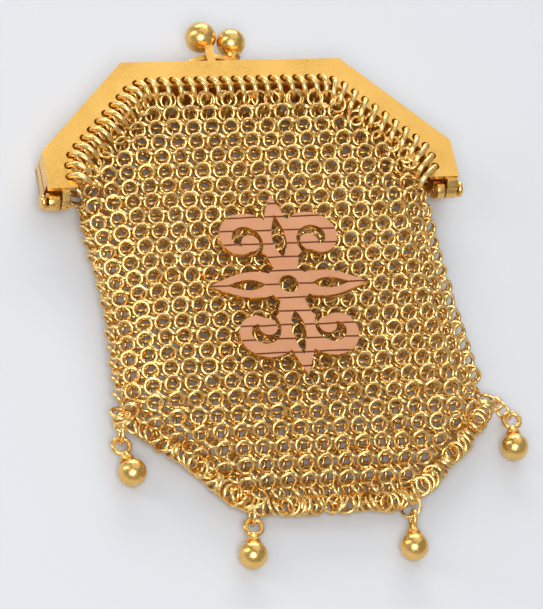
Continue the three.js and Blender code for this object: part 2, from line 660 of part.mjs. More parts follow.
// A leaf's outline along a turn, widest a little way out and pointed at both ends
function leafOutline(turn, from, to, width) {
  const way = new THREE.Vector2(Math.cos(turn), Math.sin(turn));
  const side = new THREE.Vector2(-way.y, way.x);
  const edges = [1, -1].map((sign) => {
    const points = [];
    for (let i = 0; i < LEAF.steps; i += 1) {
      const share = (sign > 0 ? i : LEAF.steps - i) / LEAF.steps;
      const reach = THREE.MathUtils.lerp(from, to, share);
      const half = width / 2 * Math.sin(Math.PI * share ** LEAF.fullness);
      points.push(way.clone().multiplyScalar(reach).addScaledVector(side, sign * half));
    }
    return points;
  });
  return edges.flat();
}

// A scroll's outline: a winding band that narrows from its root to its knob
function scrollOutline(middle) {
  const unit = ORNAMENT_WIDTH / 2;
  const edges = [[], []];
  for (let i = 0; i <= SCROLL.steps; i += 1) {
    const share = i / SCROLL.steps;
    const turn = THREE.MathUtils.degToRad(THREE.MathUtils.lerp(SCROLL.rootTurn, SCROLL.knobTurn, share));
    const closer = share ** SCROLL.tightening;
    const reach = THREE.MathUtils.lerp(SCROLL.rootReach, SCROLL.knobReach, closer) * unit;
    const width = THREE.MathUtils.lerp(SCROLL.rootWidth, SCROLL.knobWidth, share) * unit;
    const way = new THREE.Vector2(Math.cos(turn), Math.sin(turn));
    edges[0].push(middle.clone().addScaledVector(way, reach + width / 2));
    edges[1].push(middle.clone().addScaledVector(way, reach - width / 2));
  }
  return [...edges[0], ...edges[1].reverse()];
}

function scroll() {
  const unit = ORNAMENT_WIDTH / 2;
  const middle = new THREE.Vector2(SCROLL.across * unit, SCROLL.up * ORNAMENT_HEIGHT / 2);
  const knobWay = THREE.MathUtils.degToRad(SCROLL.knobTurn);
  const reach = SCROLL.knobReach * unit;
  const centre = new THREE.Vector2(Math.cos(knobWay), Math.sin(knobWay)).multiplyScalar(reach).add(middle);
  const round = roundShape(SCROLL.knob * unit, SCROLL.knobSides).getPoints();
  const knob = round.map((point) => point.add(centre));
  return ornamentPlate(scrollOutline(middle)).add(ornamentPlate(knob));
}

function ornament() {
  const unit = ORNAMENT_WIDTH / 2;
  let body = ornamentPlate(roundShape(BOSS.size * unit, BOSS.sides).getPoints());
  const openings = [];
  LEAVES.forEach((leaf) => {
    const turn = THREE.MathUtils.degToRad(leaf.turn);
    const length = (leaf.turn ? ORNAMENT_HEIGHT : ORNAMENT_WIDTH) / 2 * leaf.length;
    const width = leaf.width * unit;
    [turn, turn + Math.PI].forEach((way) => {
      body = body.add(ornamentPlate(leafOutline(way, 0, length, width)));
      openings.push(leafOutline(way, length * LEAF.openFrom, length * LEAF.openTo, width * leaf.opening));
    });
  });
  const quarter = scroll();
  const upper = quarter.add(quarter.mirror([1, 0, 0]));
  body = body.add(upper).add(upper.mirror([0, 1, 0]));
  openings.push(roundShape(BOSS.opening * unit, BOSS.openingSides).getPoints());
  openings.forEach((outline) => {
    const shape = new THREE.Shape(outline);
    const cut = new THREE.ExtrudeGeometry(shape, { depth: ORNAMENT_THICKNESS * 3, bevelEnabled: false });
    body = body.subtract(solid(cut.translate(0, 0, -ORNAMENT_THICKNESS)));
  });
  const geometry = geometryOf(body);
  return geometry.translate(ORNAMENT_ACROSS, -ORNAMENT_DOWN, BAG_DEPTH + ORNAMENT_GAP);
}

addPiece('front_frame', geometryOf(frontFrame()), satinGold);
addPiece('back_frame', geometryOf(backFrame()), satinGold);
addPiece('hinge_pin_left', hingePin(-1), polishedGold);
addPiece('hinge_pin_right', hingePin(1), polishedGold);
addPiece('front_lacing', lacing(FRONT), wireGold);
addPiece('back_lacing', lacing(BACK), wireGold);
addPiece('mesh_bag', geometryOf(meshBag()), meshGold);
addPiece('ornament', ornament(), roseGold);
DROPS.forEach((drop) => {
  const { link, linkWay } = dropPlaces(drop);
  addPiece(`drop_${drop.name}`, geometryOf(dropPiece(drop)), polishedGold);
  const round = wireRing(LINK_RADIUS, LINK_WIRE, link, linkWay, 90 - drop.roll, ROUND_SIDES);
  addPiece(`drop_link_${drop.name}`, round, wireGold);
});

// The whole purse is set so that the middle of its box stands over the origin
const bounds = new THREE.Box3().setFromObject(group);
const centre = bounds.getCenter(new THREE.Vector3());
group.position.set(-centre.x, -centre.y, -bounds.min.z);

export default group;
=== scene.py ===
import functools
import math

import bpy
import numpy as np
from mathutils import Matrix, Vector


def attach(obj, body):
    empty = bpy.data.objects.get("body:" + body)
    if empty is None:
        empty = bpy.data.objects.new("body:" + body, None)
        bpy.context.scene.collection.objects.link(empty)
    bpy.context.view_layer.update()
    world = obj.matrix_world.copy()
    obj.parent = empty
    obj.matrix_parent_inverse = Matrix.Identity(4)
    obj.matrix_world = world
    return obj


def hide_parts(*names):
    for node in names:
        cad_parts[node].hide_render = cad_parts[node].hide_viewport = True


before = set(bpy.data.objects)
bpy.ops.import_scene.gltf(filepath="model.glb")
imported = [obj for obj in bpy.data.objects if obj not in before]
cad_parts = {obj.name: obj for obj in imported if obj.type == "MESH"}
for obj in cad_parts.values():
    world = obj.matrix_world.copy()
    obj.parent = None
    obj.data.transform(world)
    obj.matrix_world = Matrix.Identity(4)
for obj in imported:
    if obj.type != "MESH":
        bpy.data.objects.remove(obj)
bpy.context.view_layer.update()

# The front half of the frame
# A flat plate of gold sawn to a chamfered arch, with a thin wall soldered square to its outer edge
# and a knuckle at each foot. A row of drilled holes follows its inner edge. The face is brushed to
# a fine satin and the sawn edges are polished bright.
MM = 0.001
MIDDLE = -0.637
TOP = 33.947
HALF_WIDTH = 29.0
CHAMFER_ACROSS, CHAMFER_DROP = 13.3, 14.0
CHAMFER_FOOT = TOP - CHAMFER_DROP
FOOT = CHAMFER_FOOT - 5.9
BAND = 4.0
RIM = 0.8
SPLIT = 3.805
OPENING_ROUND = 1.9
FRONT_FACE = (5.555, 6.255)
FRONT_RIM = (3.955, 5.905)
HINGE_LINE = FOOT - 0.6
KNUCKLE_RADIUS = 1.2
KNUCKLE_BORE = 0.75
BRACKET_NEAR, BRACKET_FAR = 0.84, 2.1
BRACKET_FOOT, BRACKET_TOP = HINGE_LINE - 0.72, FOOT + 0.48
FRONT_BALL = Vector((-3.278, 39.747, 3.455))
STRAP_MIDDLE = FRONT_BALL.x + 0.61
STRAP_HALF = 0.6
STRAP_ROOT, STRAP_TIP = 33.15, 38.0
STRAP_HEIGHTS = (3.75, 4.35)
FRAME_EASE = 0.13
FACE_TILT = 0.93
HOLE_RADIUS = 0.575
TURNS = 38
CORNER_CENTRES = [(-21.035, 16.512), (-12.643, 25.346), (11.373, 25.346), (19.765, 16.512)]
CORNER_RADIUS = 5.5
LACING_FOOT = FOOT + 1.7
LACING_TAIL = 2.0


def choose(piece):
    bpy.ops.object.select_all(action="DESELECT")
    piece.select_set(True)
    bpy.context.view_layer.objects.active = piece


def named(name):
    piece = bpy.context.object
    piece.name = name
    bpy.ops.object.transform_apply(location=True, rotation=True, scale=True)
    return piece


def block(name, low, high):
    """A block of metal between two corners, in millimetres."""
    bpy.ops.object.select_all(action="DESELECT")
    low, high = Vector(low) * MM, Vector(high) * MM
    bpy.ops.mesh.primitive_cube_add(size=1, location=(low + high) / 2, scale=high - low)
    return named(name)


def rod(name, radius, start, end, sides=32):
    """A round rod from one point to another, in millimetres."""
    bpy.ops.object.select_all(action="DESELECT")
    start, end = Vector(start) * MM, Vector(end) * MM
    turn = (end - start).to_track_quat("Z", "Y").to_euler()
    bpy.ops.mesh.primitive_cylinder_add(
        vertices=sides, radius=radius * MM, depth=(end - start).length,
        location=(start + end) / 2, rotation=turn)
    return named(name)


def saw(piece, point, outward):
    """Saws off what lies beyond a plane and closes the cut."""
    choose(piece)
    bpy.ops.object.mode_set(mode="EDIT")
    bpy.ops.mesh.select_all(action="SELECT")
    bpy.ops.mesh.bisect(plane_co=Vector(point) * MM, plane_no=outward, use_fill=True, clear_outer=True)
    bpy.ops.object.mode_set(mode="OBJECT")


def solder(piece, other, operation="UNION"):
    """Joins another piece on, or cuts it away, and takes it off the bench."""
    seam = piece.modifiers.new("seam", "BOOLEAN")
    seam.object, seam.operation, seam.solver = other, operation, "EXACT"
    choose(piece)
    bpy.ops.object.modifier_apply(modifier=seam.name)
    bpy.data.objects.remove(other)
    return piece


def ease_edges(piece, width, segments=2, angle=40):
    """Breaks the sharp edges and shades the rest smooth."""
    ease = piece.modifiers.new("eased edges", "BEVEL")
    ease.width, ease.segments, ease.angle_limit = width * MM, segments, math.radians(angle)
    ease.limit_method = "ANGLE"
    ease.harden_normals = False
    choose(piece)
    bpy.ops.object.modifier_apply(modifier=ease.name)
    bpy.ops.object.shade_smooth_by_angle(angle=math.radians(50))
    even = piece.modifiers.new("even shading", "WEIGHTED_NORMAL")
    even.weight, even.keep_sharp = 100, True
    bpy.ops.object.modifier_apply(modifier=even.name)
    return piece


def copies(name, pattern, places):
    """One mesh with a copy of the pattern at each place."""
    count = len(pattern.data.vertices)
    flat = np.empty(count * 3)
    pattern.data.vertices.foreach_get("co", flat)
    corners = np.c_[flat.reshape(-1, 3), np.ones(count)]
    faces = [list(face.vertices) for face in pattern.data.polygons]
    points = np.concatenate([corners @ np.array(place).T[:, :3] for place in places])
    made = bpy.data.meshes.new(name)
    made.from_pydata(
        points.tolist(), [], [[i + n * count for i in face] for n in range(len(places)) for face in faces])
    piece = bpy.data.objects.new(name, made)
    bpy.context.collection.objects.link(piece)
    bpy.data.objects.remove(pattern)
    return piece


def arch(name, inset, foot, low, high):
    """The frame's outline moved inward, as a block between two heights."""
    side = HALF_WIDTH - inset
    piece = block(name, (MIDDLE - side, foot, low), (MIDDLE + side, TOP - inset, high))
    for turn in (-1, 1):
        outward = Vector((turn * CHAMFER_DROP, CHAMFER_ACROSS, 0)).normalized()
        corner = Vector((MIDDLE + turn * HALF_WIDTH, CHAMFER_FOOT, 0))
        saw(piece, corner - outward * inset, outward)
    return piece


def hole_line():
    """The line of holes as close points, from the left foot round to the right foot."""
    slant = math.pi / 2 + math.atan2(CHAMFER_DROP, CHAMFER_ACROSS)
    turns = [(math.pi, slant), (slant, math.pi / 2), (math.pi / 2, math.pi - slant), (math.pi - slant, 0)]
    points = [(CORNER_CENTRES[0][0] - CORNER_RADIUS, LACING_FOOT - LACING_TAIL)]
    for (x, y), (start, end) in zip(CORNER_CENTRES, turns):
        for angle in np.linspace(start, end, 40):
            points.append((x + CORNER_RADIUS * math.cos(angle), y + CORNER_RADIUS * math.sin(angle)))
    points.append((CORNER_CENTRES[3][0] + CORNER_RADIUS, LACING_FOOT - LACING_TAIL))
    return np.array(points)


HOLE_LINE = hole_line()
HOLE_STEPS = np.r_[0, np.cumsum(np.linalg.norm(np.diff(HOLE_LINE, axis=0), axis=1))]


def hole_at(turn):
    """A point on the line of holes, and the direction out of the frame there."""
    def at(t):
        reach = LACING_TAIL + t / TURNS * (HOLE_STEPS[-1] - 2 * LACING_TAIL)
        return np.array([np.interp(reach, HOLE_STEPS, HOLE_LINE[:, i]) for i in (0, 1)])
    way = at(turn + 0.05) - at(turn - 0.05)
    way /= np.linalg.norm(way)
    return at(turn), np.array([-way[1], way[0]])


def frame_half(name, plate, rim):
    """A plate with its opening, its row of holes and its wall."""
    piece = arch(name, 0, FOOT, *plate)
    opening = arch("opening", BAND, FOOT - 5, plate[0] - 1, plate[1] + 1)
    choose(opening)
    bpy.context.tool_settings.mesh_select_mode = (False, True, False)
    bpy.ops.object.mode_set(mode="EDIT")
    bpy.ops.mesh.select_all(action="DESELECT")
    bpy.ops.object.mode_set(mode="OBJECT")
    for edge in opening.data.edges:
        a, b = (opening.data.vertices[i].co / MM for i in edge.vertices)
        edge.select = abs(a.z - b.z) > 1 and a.y > FOOT
    bpy.ops.object.mode_set(mode="EDIT")
    bpy.ops.mesh.bevel(offset=OPENING_ROUND * MM, segments=10)
    bpy.ops.object.mode_set(mode="OBJECT")
    solder(piece, opening, "DIFFERENCE")
    drill = rod("drill", HOLE_RADIUS, (0, 0, plate[0] - 1), (0, 0, plate[1] + 1), 16)
    holes = [hole_at(turn)[0] * MM for turn in range(TURNS + 1)]
    solder(piece, copies("drills", drill, [Matrix.Translation((x, y, 0)) for x, y in holes]), "DIFFERENCE")
    wall = arch("wall", 0, FOOT + 1, *rim)
    solder(wall, arch("inside", RIM, FOOT - 3, rim[0] - 1, rim[1] + 1), "DIFFERENCE")
    return solder(piece, wall)


def knuckle(piece, start, end, side):
    """A hinge knuckle on its bracket, bored for the pin."""
    near, far = sorted((SPLIT + side * BRACKET_NEAR, SPLIT + side * BRACKET_FAR))
    bracket = block("bracket", (start, BRACKET_FOOT, near), (end, BRACKET_TOP, far))
    saw(bracket, (0, HINGE_LINE + 0.1, SPLIT + side * BRACKET_FAR), (0, -0.7, 0.7 * side))
    solder(piece, bracket)
    solder(piece, rod("barrel", KNUCKLE_RADIUS, (start, HINGE_LINE, SPLIT), (end, HINGE_LINE, SPLIT), 40))
    bore = rod("bore", KNUCKLE_BORE, (start - 0.25, HINGE_LINE, SPLIT), (end + 0.25, HINGE_LINE, SPLIT), 32)
    return solder(piece, bore, "DIFFERENCE")


def worked_gold_group():
    """Shared by every metal here: rubbed patches, fine grain and the small dents of wear."""
    group = bpy.data.node_groups.new("worked gold", "ShaderNodeTree")
    add = group.nodes.new
    for label, value in (("Patch size", 4.0), ("Grain size", 0.12), ("Roughness", 0.3), ("Spread", 0.1)):
        socket = group.interface.new_socket(label, in_out="INPUT", socket_type="NodeSocketFloat")
        socket.default_value = value
    for label in ("Tone", "Roughness", "Height"):
        group.interface.new_socket(label, in_out="OUTPUT", socket_type="NodeSocketFloat")
    given, out = add("NodeGroupInput"), add("NodeGroupOutput")
    place = add("ShaderNodeTexCoord")
    link = group.links.new

    def scale_of(size):
        over = add("ShaderNodeMath")
        over.operation = "DIVIDE"
        over.inputs[0].default_value = 1000.0
        link(size, over.inputs[1])
        return over.outputs[0]

    patches = add("ShaderNodeTexNoise")
    patches.inputs["Detail"].default_value = 3.0
    link(place.outputs["Object"], patches.inputs["Vector"])
    link(scale_of(given.outputs["Patch size"]), patches.inputs["Scale"])
    wide = add("ShaderNodeMapRange")
    wide.inputs["From Min"].default_value, wide.inputs["From Max"].default_value = 0.32, 0.68
    link(patches.outputs["Fac"], wide.inputs["Value"])
    grain = add("ShaderNodeTexNoise")
    grain.inputs["Detail"].default_value = 4.0
    grain.inputs["Roughness"].default_value = 0.65
    link(place.outputs["Object"], grain.inputs["Vector"])
    link(scale_of(given.outputs["Grain size"]), grain.inputs["Scale"])
    speckle = add("ShaderNodeMapRange")
    speckle.inputs["From Min"].default_value, speckle.inputs["From Max"].default_value = 0.36, 0.64
    link(grain.outputs["Fac"], speckle.inputs["Value"])
    both = add("ShaderNodeMix")
    both.inputs["Factor"].default_value = 0.5
    link(wide.outputs[0], both.inputs["A"])
    link(speckle.outputs[0], both.inputs["B"])
    centred = add("ShaderNodeMath")
    centred.operation = "SUBTRACT"
    centred.inputs[1].default_value = 0.5
    link(both.outputs["Result"], centred.inputs[0])
    rough = add("ShaderNodeMath")
    rough.operation = "MULTIPLY_ADD"
    link(centred.outputs[0], rough.inputs[0])
    link(given.outputs["Spread"], rough.inputs[1])
    link(given.outputs["Roughness"], rough.inputs[2])
    link(both.outputs["Result"], out.inputs["Tone"])
    link(rough.outputs[0], out.inputs["Roughness"])
    link(grain.outputs["Fac"], out.inputs["Height"])
    return group


WORKED_GOLD = worked_gold_group()


def gold(name, bright, deep, roughness, spread, patch, grain, dent):
    """A gold finish: two tones that change over one worked surface. Patch, grain and dent are the
    sizes of the rubbed patches, the grain and the dents' depth, in millimetres."""
    finish = bpy.data.materials.new(name)
    finish.use_nodes = True
    nodes, link = finish.node_tree.nodes, finish.node_tree.links.new
    shader = nodes["Principled BSDF"]
    shader.inputs["Metallic"].default_value = 1.0
    worked = nodes.new("ShaderNodeGroup")
    worked.node_tree = WORKED_GOLD
    worked.name = "worked"
    for label, value in (("Patch size", patch), ("Grain size", grain),
                         ("Roughness", roughness), ("Spread", spread)):
        worked.inputs[label].default_value = value
    tone = nodes.new("ShaderNodeMix")
    tone.data_type = "RGBA"
    tone.name = "tone"
    tone.inputs["A"].default_value = (*deep, 1)
    tone.inputs["B"].default_value = (*bright, 1)
    link(worked.outputs["Tone"], tone.inputs["Factor"])
    link(tone.outputs["Result"], shader.inputs["Base Color"])
    link(worked.outputs["Roughness"], shader.inputs["Roughness"])
    bump = nodes.new("ShaderNodeBump")
    bump.name = "dents"
    bump.inputs["Distance"].default_value = dent * MM
    link(worked.outputs["Height"], bump.inputs["Height"])
    link(bump.outputs["Normal"], shader.inputs["Normal"])
    return finish


SATIN_GOLD = gold("satin gold", (0.94, 0.56, 0.15), (0.80, 0.45, 0.10), 0.34, 0.18, 6.0, 0.3, 0.04)
BRIGHT_GOLD = gold("polished gold", (0.96, 0.64, 0.22), (0.80, 0.45, 0.11), 0.27, 0.2, 2.0, 0.3, 0.02)


def finished(piece, slot, nodes, *finishes):
    """Gives a piece its finish and its place in the frame."""
    piece.data.materials.clear()
    for finish in finishes:
        piece.data.materials.append(finish)
    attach(piece, "root")
    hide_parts(*nodes)


def brighten_edges(piece):
    """Faces that don't look up or down take the second finish: the polished edges of the frame, and on the
    fleuron yellow polished gold as a painted highlight along its edges.
    """
    for face in piece.data.polygons:
        face.material_index = 0 if abs(face.normal.z) > FACE_TILT else 1


front = frame_half("front_plate", FRONT_FACE, FRONT_RIM)
knuckle(front, -27.735, -26.735, 1)
knuckle(front, 26.715, 28.215, 1)
strap = block(
    "strap", (STRAP_MIDDLE - STRAP_HALF, STRAP_ROOT, STRAP_HEIGHTS[0]),
    (STRAP_MIDDLE + STRAP_HALF, STRAP_TIP, STRAP_HEIGHTS[1]))
solder(front, strap)
ease_edges(front, FRAME_EASE)
finished(front, "frame", ["front_frame"], SATIN_GOLD, BRIGHT_GOLD)
brighten_edges(front)

# The back half of the frame
# The same plate turned over, face to the table, with its wall meeting the front half's along a fine
# split. A little arched bridge and a collared post for the clasp are soldered to its top edge.
BACK_FACE = (1.355, 2.055)
BACK_RIM = (1.705, 3.655)
BACK_BALL = Vector((0.925, 38.747, 3.455))
POST_ROOT = Vector((0.925, 33.547, 2.855))
POST_RADIUS = 0.65
COLLAR_RADIUS = 1.02
COLLAR_ENDS = (2.45, 1.6)
BRIDGE_CENTRE = Vector((-2.277, 30.335, 3.205))
BRIDGE_RADIUS = 6.112
BRIDGE_HALF_SPAN = 5.2
BRIDGE_BAR = (0.7, 0.9, 1)

back = frame_half("back_plate", BACK_FACE, BACK_RIM)
knuckle(back, -29.485, -27.985, -1)
knuckle(back, 25.465, 26.465, -1)
post_way = (BACK_BALL - POST_ROOT).normalized()
solder(back, rod("post", POST_RADIUS, POST_ROOT, BACK_BALL - post_way))
collar_foot, collar_top = (BACK_BALL - post_way * reach for reach in COLLAR_ENDS)
solder(back, rod("collar", COLLAR_RADIUS, collar_foot, collar_top))
bridge_open = math.asin(BRIDGE_HALF_SPAN / BRIDGE_RADIUS)
bridge_start = math.pi / 2 - bridge_open
bpy.ops.object.select_all(action="DESELECT")
bridge_way = Vector((math.cos(bridge_start), math.sin(bridge_start), 0))
bpy.ops.mesh.primitive_plane_add(
    size=MM, rotation=(math.pi / 2, 0, bridge_start),
    location=(BRIDGE_CENTRE + bridge_way * BRIDGE_RADIUS) * MM)
bpy.context.object.scale = BRIDGE_BAR
bridge = named("bridge")
bpy.ops.object.mode_set(mode="EDIT")
bpy.ops.mesh.select_all(action="SELECT")
bpy.ops.mesh.spin(steps=28, angle=-2 * bridge_open, center=BRIDGE_CENTRE * MM, axis=(0, 0, 1))
bpy.ops.mesh.select_all(action="SELECT")
bpy.ops.mesh.remove_doubles(threshold=1e-6)
bpy.ops.mesh.normals_make_consistent(inside=False)
bpy.ops.object.mode_set(mode="OBJECT")
solder(back, bridge)
ease_edges(back, FRAME_EASE)
finished(back, "frame", ["back_frame"], SATIN_GOLD, BRIGHT_GOLD)
brighten_edges(back)

# The two hinge pins
# Each is a gold wire pushed through both knuckles, its outer end headed to a small polished knob.
PIN_RADIUS = 0.5
PIN_ENDS = (26.1, 29.2)
KNOB_RADIUS = 1.1
KNOB_ENDS = (29.1, 29.9)
KNOB_EASE = 0.38


def pin_rod(name, radius, ends, side, sides=32):
    start, end = (Vector((MIDDLE + side * reach, HINGE_LINE, SPLIT)) for reach in ends)
    return rod(name, radius, start, end, sides)


for name, side in (("left", -1), ("right", 1)):
    shank = pin_rod(f"pin_{name}", PIN_RADIUS, PIN_ENDS, side)
    knob = pin_rod("knob", KNOB_RADIUS, KNOB_ENDS, side, 40)
    ease_edges(knob, KNOB_EASE, 5)
    solder(shank, knob)
    choose(shank)
    bpy.ops.object.shade_smooth_by_angle(angle=math.radians(50))
    finished(shank, "polished", [f"hinge_pin_{name}"], BRIGHT_GOLD)

# The clasp
# Two hollow gold balls that snap past each other. The front one sits on the flat strap, the back one
# on its post, and both are burnished smooth.
FRONT_BALL_RADIUS = 2.175
BACK_BALL_RADIUS = 2.025


def burnished_ball(name, centre, radius):
    bpy.ops.object.select_all(action="DESELECT")
    bpy.ops.mesh.primitive_uv_sphere_add(
        segments=48, ring_count=24, radius=radius * MM, location=Vector(centre) * MM)
    ball = named(name)
    bpy.ops.object.shade_smooth()
    return ball


front_ball = burnished_ball("front_ball", FRONT_BALL, FRONT_BALL_RADIUS)
finished(front_ball, "frame", ["front_frame"], BRIGHT_GOLD)
back_ball = burnished_ball("back_ball", BACK_BALL, BACK_BALL_RADIUS)
finished(back_ball, "frame", ["back_frame"], BRIGHT_GOLD)

# The lacing
# A thick gold wire wound like a spring through every hole of each plate, round its inner edge and
# through the mesh, so that each turn stands proud of the plate.
LACING_WIRE = 0.75
LACING_RADIUS = 1.38
LACING_SLACK = 2.0
FRONT_AXIS = 5.905
BACK_AXIS = 1.76
TURN_STEPS = 24
WIRE_GOLD = gold("wire gold", (0.99, 0.74, 0.33), (0.92, 0.60, 0.20), 0.27, 0.16, 1.6, 0.25, 0.008)


def coil(name, axis_height, side):
    """A wire wound through the holes, half a turn past the last, its free side sagging with the mesh."""
    path = bpy.data.curves.new(name, "CURVE")
    path.dimensions = "3D"
    line = path.splines.new("POLY")
    line.points.add(TURNS * TURN_STEPS + TURN_STEPS // 2)
    for i, point in enumerate(line.points):
        turn = i / TURN_STEPS
        hole, outward = hole_at(turn)
        angle = 2 * math.pi * turn
        inward = (1 - math.cos(angle)) / 2
        sag = np.array([0, LACING_SLACK * (1 - outward[1])])
        place = hole - outward * 2 * LACING_RADIUS * inward - sag * inward
        height = axis_height + LACING_RADIUS * math.sin(angle) * side
        point.co = (place[0] * MM, place[1] * MM, height * MM, 1)
    path.bevel_depth = LACING_WIRE / 2 * MM
    path.bevel_resolution = 3
    path.use_fill_caps = True
    wire = bpy.data.objects.new(name, path)
    bpy.context.collection.objects.link(wire)
    choose(wire)
    bpy.ops.object.convert(target="MESH")
    bpy.ops.object.shade_smooth_by_angle(angle=math.radians(50))
    return bpy.context.object


finished(coil("front_coil", FRONT_AXIS, 1), "wire", ["front_lacing"], WIRE_GOLD)
finished(coil("back_coil", BACK_AXIS, -1), "wire", ["back_lacing"], WIRE_GOLD)

# The mesh bag
# Fine round rings of gold wire, each linked through its four neighbours, hang from the lacing as two
# panels that close into a flat tube below the hinges. Rows lean one way and the other in turn, so
# that one row shows its rings round and the next shows them askew, from the side.
RING_RADIUS = 1.06
RING_WIRE = 0.5
FIRST_ROW = 28.0
ROW_STEP = 1.17
COLUMNS = 38
COLUMN_START = 0.25
ROW_LEANS = (36, -42)
ROW_DEPTHS = (0.0, 0.3)
ROW_SKEWS = (0.0, -38.0)
WOBBLE = 5.0
DRIFT = 0.05
SINK = 1.09
BACK_LIFT = 0.6
MOUTH_SPARE = 1.5
HEM_SPARE = 2.0
BAG_ROWS = np.array([
    # down the purse, left edge, right edge, top, top at the edge, underside, underside at the edge
    (29.65, -12.64, 11.37, 6.66, 6.66, 0.95, 0.95), (29.30, -14.34, 13.07, 6.66, 6.66, 0.95, 0.95),
    (28.31, -15.76, 14.49, 6.66, 6.66, 0.95, 0.95), (19.47, -24.15, 22.88, 7.03, 6.66, 0.14, 0.95),
    (18.11, -25.03, 23.76, 7.03, 6.66, 0.14, 0.95), (16.51, -25.33, 24.07, 7.03, 6.66, 0.14, 0.95),
    (14.05, -25.33, 24.07, 7.03, 6.40, 0.14, 1.05), (13.27, -25.78, 24.51, 7.03, 5.90, 0.14, 1.30),
    (8.94, -25.78, 24.77, 7.10, 4.83, 0.00, 1.14), (2.87, -25.15, 24.77, 7.10, 4.69, 0.00, 0.99),
    (-2.96, -24.89, 25.15, 7.10, 4.40, 0.00, 0.99), (-8.80, -25.32, 25.65, 7.10, 4.26, 0.00, 0.99),
    (-15.11, -25.78, 26.29, 7.10, 3.98, 0.00, 0.99), (-18.52, -26.16, 27.05, 6.89, 3.76, 0.00, 0.99),
    (-20.22, -25.65, 27.05, 6.60, 3.69, 0.00, 0.99), (-23.38, -21.46, 24.77, 6.25, 3.69, 0.00, 0.99),
    (-26.78, -17.40, 21.72, 5.68, 3.69, 0.00, 0.99), (-30.18, -14.35, 17.91, 4.90, 3.62, 0.00, 0.92),
    (-32.61, -12.32, 14.86, 4.12, 3.41, 0.14, 0.85), (-33.82, -10.03, 13.08, 3.55, 3.12, 0.43, 0.92),
    (-34.55, -6.98, 11.05, 2.84, 2.70, 0.92, 1.21)])
TUBE_TOP = 13.6
TUBE_FOOT = -17.5


def row_at(y):
    """The bag's edges and heights at one place down the purse."""
    return [np.interp(-y, -BAG_ROWS[:, 0], BAG_ROWS[:, i]) for i in range(1, 7)]


def heights_at(x, y):
    """Where the middles of the front and the back panel's rings lie. The panels fall away to the
    bag's sides over seven millimetres, from a flat edge where the lacing holds them."""
    left, right, top, top_edge, low, low_edge = row_at(y)
    flat = 2.76 * np.clip((y - 12) / 2, 0, 1)
    fall = np.clip((min(x - left, right - x) - flat) / 7, 0, 1)
    fall = 1 - fall * fall * (3 - 2 * fall)
    return top + (top_edge - top) * fall - SINK, low + (low_edge - low) * fall + SINK


@functools.lru_cache(maxsize=None)
def girth(y):
    """Half of the tube's section, from the middle of the front round the right to the middle of the
    back, or the same to the left, as points at equal steps of one column."""
    left, right = row_at(y)[:2]
    middle = (left + right) / 2
    halves = []
    for edge, side in ((right, 1), (left, -1)):
        xs = np.linspace(middle, edge - side * SINK, 60)
        heights = np.array([heights_at(x, y) for x in xs])
        front_line = np.c_[xs, heights[:, 0]]
        back_line = np.c_[xs, heights[:, 1]][::-1]
        line = np.concatenate([front_line, back_line])
        steps = np.r_[0, np.cumsum(np.linalg.norm(np.diff(line, axis=0), axis=1))]
        even = np.linspace(0, steps[-1], 400)
        line = np.array([np.interp(even, steps, line[:, i]) for i in (0, 1)]).T
        smooth = line.copy()
        for _ in range(60):
            smooth[1:-1] = (smooth[:-2] + 2 * smooth[1:-1] + smooth[2:]) / 4
        halves.append(smooth)
    return halves


def on_tube(column, y):
    """A ring's middle on the closed part of the bag. Column 0 is the middle of the front and half of
    the columns lead round each side to the middle of the back."""
    line = girth(y)[0 if column >= 0 else 1]
    steps = np.r_[0, np.cumsum(np.linalg.norm(np.diff(line, axis=0), axis=1))]
    reach = abs(column) / (COLUMNS / 2) * steps[-1]
    return np.array([np.interp(reach, steps, line[:, 0]), y, np.interp(reach, steps, line[:, 1])])


def column_step(y):
    """How far apart the columns are across the front."""
    line = girth(y)[0]
    return np.linalg.norm(np.diff(line, axis=0), axis=1).sum() / (COLUMNS / 2)


PANEL_STEPS = {"mouth": column_step(TUBE_TOP), "hem": column_step(TUBE_FOOT)}
PANEL_MIDDLES = {"mouth": sum(row_at(TUBE_TOP)[:2]) / 2, "hem": sum(row_at(TUBE_FOOT)[:2]) / 2}


def on_panel(column, y, part, is_back):
    """A ring's middle on a flat part of the bag, above the hinges or at the hem."""
    x = PANEL_MIDDLES[part] + (column + (-COLUMN_START if is_back else COLUMN_START)) * PANEL_STEPS[part]
    return np.array([x, y, heights_at(x, y)[1 if is_back else 0]])


def lay(middle, across, down, lean, wobble, depth=0.0, size=1.0, skew=0.0):
    """Where a ring lies: turned into the panel, at a depth below it and leaning up or down it, or
    askew by an angle in the panel."""
    across = across / np.linalg.norm(across)
    out = np.cross(across, down)
    out /= np.linalg.norm(out)
    down = np.cross(out, across)
    share, other = math.cos(math.radians(skew)), math.sin(math.radians(skew))
    across, down = across * share + down * other, down * share - across * other
    tilt, yaw, roll = wobble
    lean = math.radians(lean) + tilt
    turn = np.array([across, down * math.cos(lean) + out * math.sin(lean),
                     out * math.cos(lean) - down * math.sin(lean)]).T
    turn = turn @ np.array(Matrix.Rotation(yaw, 3, "Z")) @ np.array(Matrix.Rotation(roll, 3, "Y"))
    place = np.eye(4)
    place[:3, :3] = turn * size
    place[:3, 3] = (middle - out * depth) * MM
    return place


